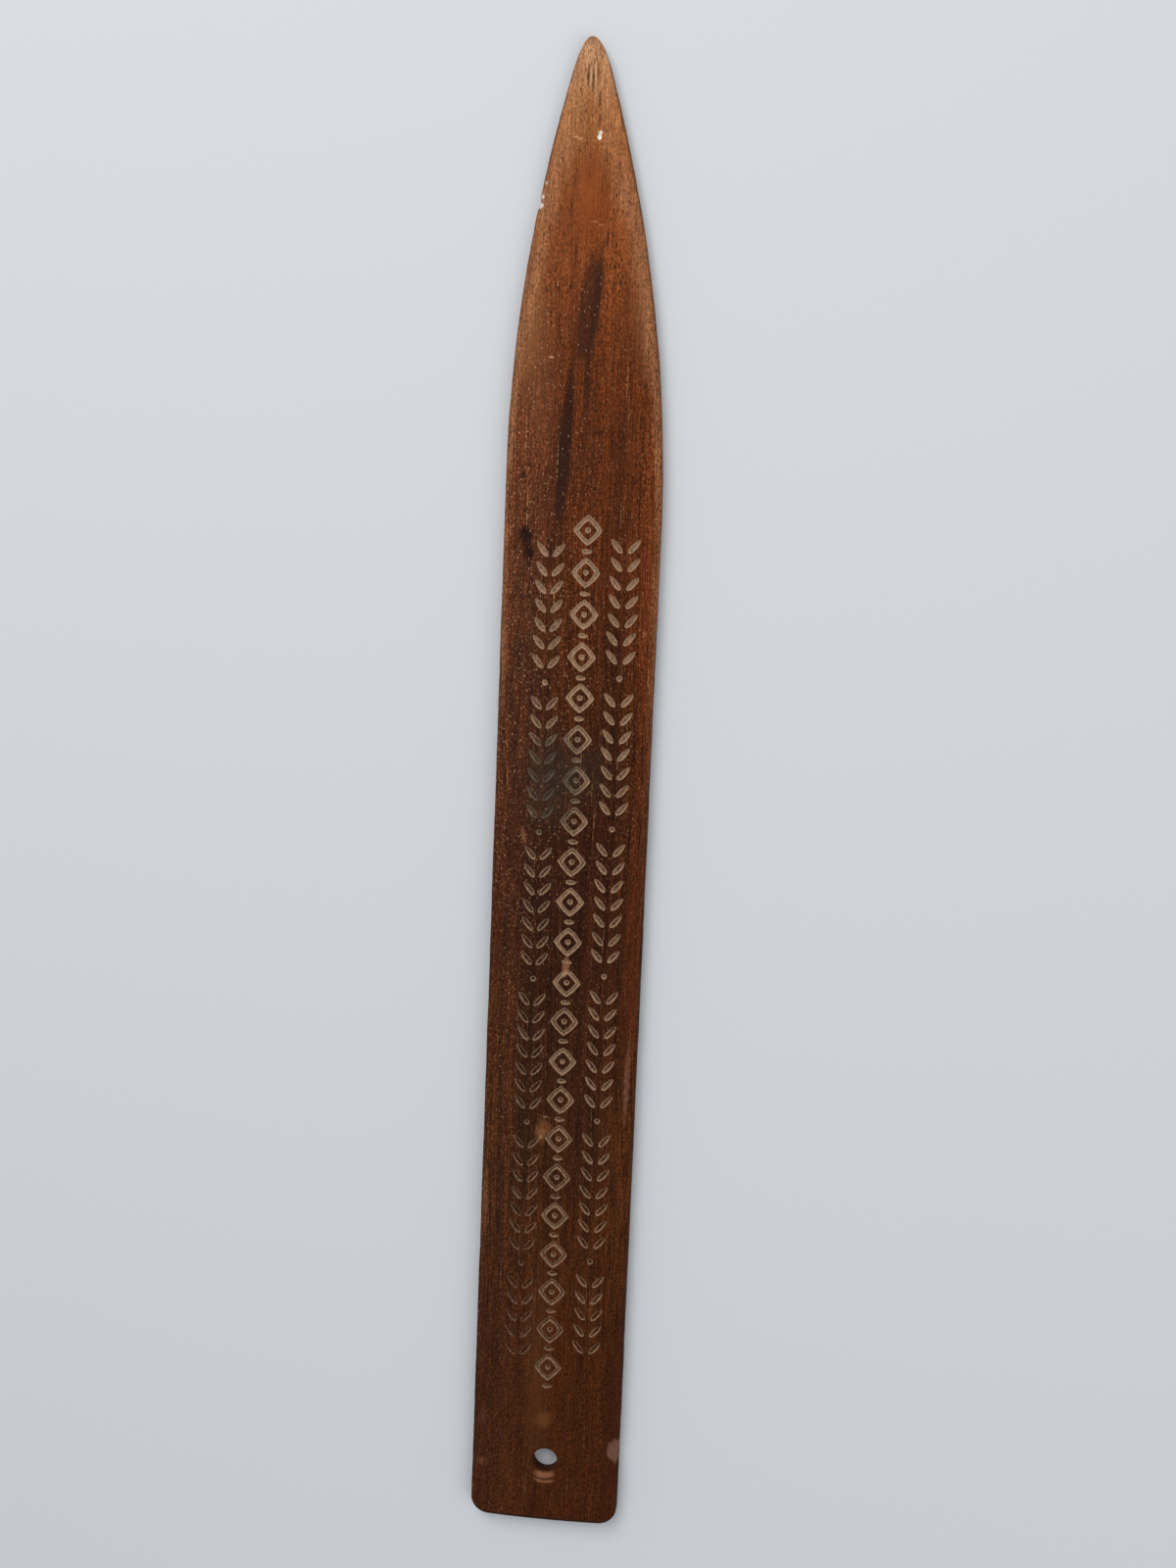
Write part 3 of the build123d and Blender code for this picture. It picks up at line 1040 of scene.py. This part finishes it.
def lozengePath(height, grow):
    style = stampedRows["lozenge"]
    power = 2 / style["sharpness"]
    wider = grow * style["growth"]
    path = []
    for c, s in roundSteps(style["steps"]):
        a = math.copysign(abs(c) ** power, c)
        b = math.copysign(abs(s) ** power, s)
        path.append((a * (style["length"] / 2 + wider), b * (height / 2 + wider)))
    return path


def pressLozenge(cutter, middle, heading, height, depth):
    top = woodBody["thickness"]
    above = stampedRows["above"]
    stroke = stampedRows["lozenge"]["stroke"]
    loops = []
    for grow, z in (
        (above, top + above),
        (-depth, top - depth),
        (-stroke + depth, top - depth),
        (-stroke - above, top + above),
    ):
        loops.append(placed(lozengePath(height, grow), middle, heading, z))
    cutter.addLoops(loops, paintedBed, caps=False)


def pressRows(cutter):
    dice = random.Random(stampedRows["seed"])
    for kind, start, end, height in stampedRows["rows"]:
        start, end = Vector(start), Vector(end)
        run = (end - start).length
        heading = math.atan2(end.y - start.y, end.x - start.x)
        across = Vector((-math.sin(heading), math.cos(heading)))
        ahead = Vector((math.cos(heading), math.sin(heading)))
        style = stampedRows[kind]
        spent, count = 0.0, 0
        while spent < run - style["pitch"] / 2:
            jitter = Vector((dice.uniform(-1, 1), dice.uniform(-1, 1))) * stampedRows["jitter"]
            depth = dice.uniform(*stampedRows["depth"])
            middle = start + ahead * (spent + style["pitch"] / 2) + jitter
            count += 1
            spent += style["pitch"]
            if kind == "lozenge":
                pressLozenge(cutter, middle, heading, height, depth)
                pressLeaf(cutter, middle, heading, style["dot"], style["dot"], depth)
                between = middle + ahead * style["pitch"] / 2
                pressLeaf(cutter, between, heading + math.pi / 2, *style["bar"], depth)
                continue
            lean = math.radians(style["lean"])
            length, width = style["leafLength"], style["leafWidth"]
            for side in (1, -1):
                leaf = middle + across * side * (height - length * math.sin(lean)) / 2
                pressLeaf(cutter, leaf, heading + side * (math.pi - lean), length, width, depth)
            if count % style["pairs"] == 0:
                dot = start + ahead * (spent + style["pause"] / 2) + jitter
                pressLeaf(cutter, dot, heading, style["dot"], style["dot"], depth)
                spent += style["pause"]


# Chips: small splinters gone from the front, and the pits of a knot

frontChips = {
    "steps": 22,
    "above": 0.06,
    "bedShare": 0.55,
    "uneven": 0.35,
    "torn": 1.6,  # cells of noise to the rim's radius
    "seed": 9,
    "chips": [
        # middle (x, y), length along the grain, width, depth
        ((0.2, -21.6), 3, 1.1, 0.15),
        ((-2.3, -46.4), 3, 1.8, 0.1),
        ((0.33, 94.45), 1.3, 0.5, 0.1),
        ((-7.85, 40.1), 1.7, 1.3, 0.16),
        ((-7.3, 37.6), 2.2, 0.9, 0.14),
        ((-8.35, 48.5), 0.9, 0.6, 0.1),
    ],
}


def splitChips(cutter):
    above, torn = frontChips["above"], frontChips["torn"]
    for number, ((x, y), length, width, depth) in enumerate(frontChips["chips"]):
        top = midZ + float(fullThickness(np.array(y))) / 2
        slope = (1 - frontChips["bedShare"]) / depth
        loops = []
        for share, z in ((1 + slope * above, top + above), (frontChips["bedShare"], top - depth)):
            ring = []
            for c, s in roundSteps(frontChips["steps"]):
                bump = noise.noise(Vector((c * torn, s * torn, frontChips["seed"] + number)))
                r = share * (1 + frontChips["uneven"] * bump)
                ring.append((x + r * width / 2 * c, y + r * length / 2 * s, z))
            loops.append(ring)
        cutter.addLoops(loops, bareBed, caps=True)


# Hanging hole, its lower lip worn by the hook

holeCut = {
    "x": holeMiddle[0],
    "y": holeMiddle[1],
    "radius": hangingHole["dims"]["r_mm"],
    "rim": 0.3,
    "wornLip": 0.6,
    "uneven": 0.05,
    "seed": 4.2,
    "steps": 64,
    "beyond": 0.6,
}


def drillHole(cutter):
    top = woodBody["thickness"]
    radius, rim, beyond = holeCut["radius"], holeCut["rim"], holeCut["beyond"]
    loops = [[], [], [], []]
    for c, s in roundSteps(holeCut["steps"]):
        lip = rim + holeCut["wornLip"] * max(0.0, -s) ** 3
        lip += holeCut["uneven"] * noise.noise(Vector((c, s, holeCut["seed"])))
        levels = (
            (radius + lip + beyond, top + beyond),
            (radius, top - lip),
            (radius, rim),
            (radius + rim + beyond, -beyond),
        )
        for loop, (r, z) in zip(loops, levels):
            loop.append((holeCut["x"] + r * c, holeCut["y"] + r * s, z))
    cutter.addLoops(loops, bareBed, caps=True)


# Bake map: front and back in four strips each, so that the long piece fills a square

bakeMap = {
    "strips": 4,
    "gap": 1.5,
    "boreBand": 0.5,
    "steep": 0.45,  # faces with less upward normal than this go on the edge strips
}


def meshArray(items, name, width, kind=float):
    values = np.empty(len(items) * width, kind)
    items.foreach_get(name, values)
    return values.reshape(-1, width) if width > 1 else values


def stripMap(mesh):
    strips, gap = bakeMap["strips"], bakeMap["gap"]
    width, thick = woodBody["width"], woodBody["thickness"]
    strip = woodBody["length"] / strips
    square = 2 * (strip + 2 * gap) + 2 * (thick + gap)
    vertexOf = meshArray(mesh.loops, "vertex_index", 1, np.int32)
    faceOf = np.repeat(np.arange(len(mesh.polygons)), meshArray(mesh.polygons, "loop_total", 1, np.int32))
    x, y, z = meshArray(mesh.vertices, "co", 3)[vertexOf].T / mm
    normalX, normalY, normalZ = meshArray(mesh.polygons, "normal", 3)[faceOf].T
    centreX, centreY = meshArray(mesh.polygons, "center", 3)[faceOf].T[:2] / mm

    # faces of the front and the back
    number = np.clip(((centreY - buttY) // strip).astype(int), 0, strips - 1)
    along = y - buttY - number * strip + gap
    u = gap + number * (width + gap) + x + width / 2
    v = np.where(normalZ >= 0, along, along + strip + gap)

    # long edges
    steep = np.abs(normalZ) < bakeMap["steep"]
    flank = steep & (np.abs(normalX) >= np.abs(normalY))
    u = np.where(flank, gap + strips * (width + gap) + number * (thick + gap) + z, u)
    v = np.where(flank, np.where(normalX > 0, along, along + strip + gap), v)

    # butt, bore and tip, side by side above the strips
    top = 2 * (strip + gap) + 2 * gap
    end = steep & ~flank
    fromHole = np.hypot(centreX - holeCut["x"], centreY - holeCut["y"])
    bore = steep & (fromHole < holeCut["radius"] + bakeMap["boreBand"])
    turn = np.arctan2(y - holeCut["y"], x - holeCut["x"])
    faceTurn = np.arctan2(centreY - holeCut["y"], centreX - holeCut["x"])
    turn = faceTurn + (turn - faceTurn + math.pi) % (2 * math.pi) - math.pi
    boreStart = 3 * gap + width
    tipStart = boreStart + 2 * math.pi * holeCut["radius"] + 2 * gap
    u = np.where(end, np.where(y < 0, gap + x + width / 2, tipStart + x + halfWidth / 2), u)
    u = np.where(bore, boreStart + (turn + math.pi) * holeCut["radius"], u)
    v = np.where(end | bore, top + z, v)
    layer = mesh.uv_layers.new(name="OFBake")
    layer.uv.foreach_set("vector", (np.stack([u, v], axis=-1) / square).ravel())


def markRims(mesh):
    # how far each vertex lies across the rounded edge: 0 at the rim, 1 and more on the flat
    x, y = meshArray(mesh.vertices, "co", 3).T[:2] / mm
    right, left = outlineReach(y, 1), outlineReach(y, -1)
    fromButt = y - buttY - woodBody["buttBow"] * (x / halfWidth) ** 2
    inward = np.minimum(np.minimum(right - x, x + left), fromButt)
    bevel = np.maximum(bevelAt(y, right + left), woodBody["leastBevel"])
    mark = mesh.attributes.new("rimShare", "FLOAT", "POINT")
    mark.data.foreach_set("value", np.clip(inward, 0, None) / bevel)


def cutWith(opener, cutter, name):
    # takes the cutter's solids out of the wood; the caller removes the tool afterwards
    tool = addObject(name, cutter.toMesh(name))
    for material in opener.data.materials:
        tool.data.materials.append(material)
    cut = opener.modifiers.new(name, "BOOLEAN")
    cut.operation = "DIFFERENCE"
    cut.solver = "EXACT"
    cut.object = tool
    return tool


def buildOpener():
    groups = {"spot": makeSoftSpot(), "frayed": makeFrayedRims(), "rim": makeRubbedAndLitRim()}
    groups["figure"] = makeHardwoodFigure(groups["spot"], halfLength)
    wood, stamped = makeOiledWood(groups), makeStampPaint(groups)
    print("wood and paint mixed")
    opener = addObject("stampedWoodOpener", woodMesh())
    print("wood body:", len(opener.data.polygons), "faces")

    for material in (wood, stamped):
        opener.data.materials.append(material)
    stampTool, chipTool = CutterMesh(), CutterMesh()
    pressRows(stampTool)
    drillHole(stampTool)
    splitChips(chipTool)
    tools = [cutWith(opener, stampTool, "stampTool"), cutWith(opener, chipTool, "chipTool")]
    pressed = opener.evaluated_get(bpy.context.evaluated_depsgraph_get())
    mesh = bpy.data.meshes.new_from_object(pressed)
    opener.modifiers.clear()
    opener.data = mesh
    for tool in tools:
        bpy.data.objects.remove(tool)
    print("ornament, chips and hole cut:", len(mesh.polygons), "faces")

    markRims(mesh)
    stripMap(mesh)
    mesh.shade_smooth()
    mesh.set_sharp_from_angle(angle=math.radians(woodBody["sharpAngle"]))
    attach(opener, "root")
    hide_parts("wooden_blade")


buildOpener()
